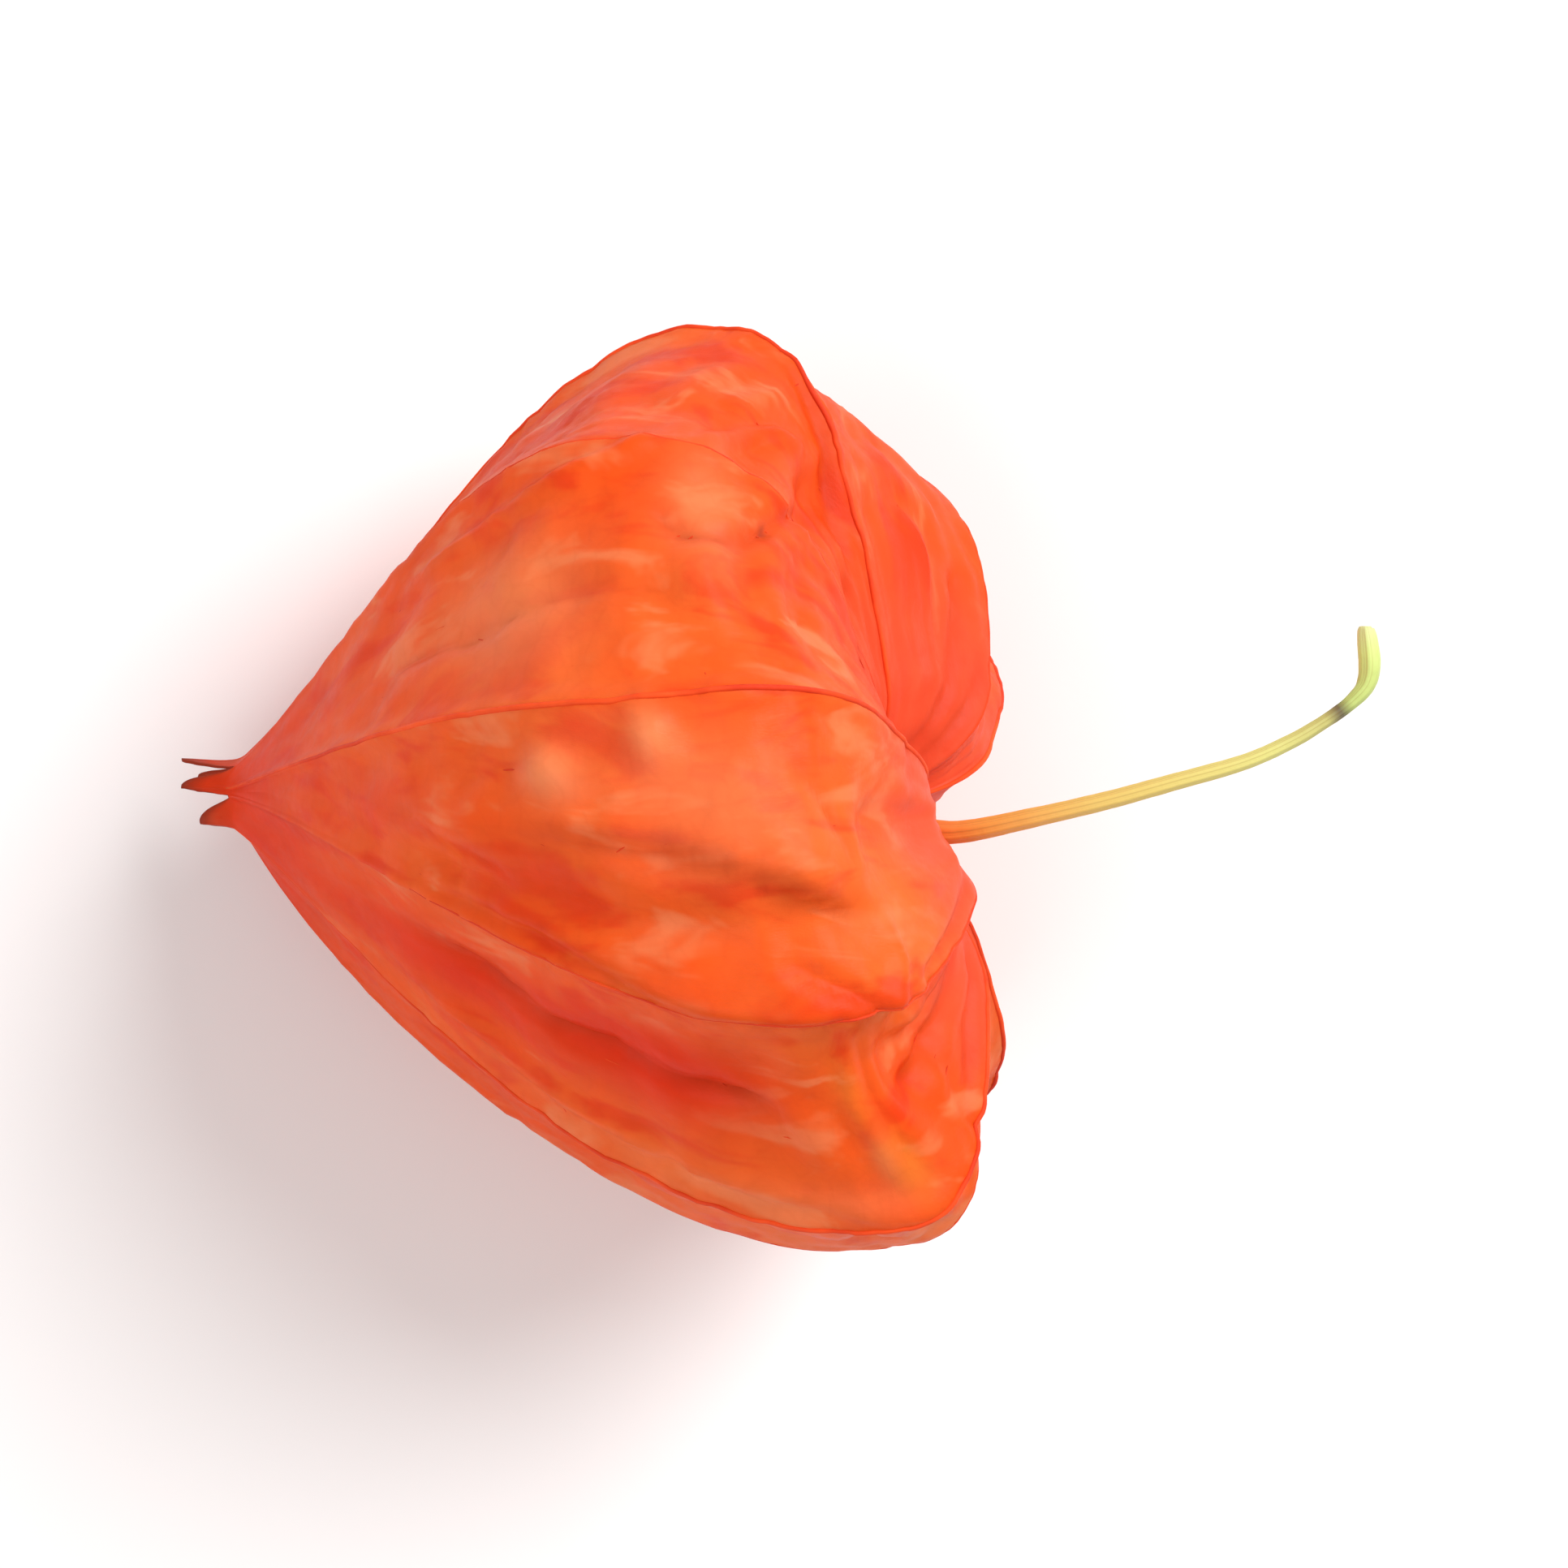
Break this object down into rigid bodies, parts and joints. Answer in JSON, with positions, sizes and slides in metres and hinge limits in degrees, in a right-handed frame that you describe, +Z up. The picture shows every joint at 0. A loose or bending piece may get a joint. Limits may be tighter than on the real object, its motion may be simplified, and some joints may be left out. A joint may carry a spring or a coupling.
{
  "type": "dried physalis husk",
  "caption": "Dried papery lantern husk, ribbed and heart-shaped, lying on its side with pointed lobes at the neck and a curved stalk from its dimpled base.",
  "frame": {"origin": "on the surface that the husk lies on, below the middle of its box", "axes": "+Z up, +X along the length from the lobes at the neck to the end of the stalk, +Y across"},
  "size_m": [0.0636, 0.0512, 0.0463],
  "materials": {
    "husk_paper": "satin, dry, papery orange, raised veins",
    "stalk_skin": "matte dry plant stalk, orange at the root to yellow green at the end"
  },
  "bodies": {
    "root": {"husk": "husk_paper", "stem": "stalk_skin"}
  },
  "joints": []
}
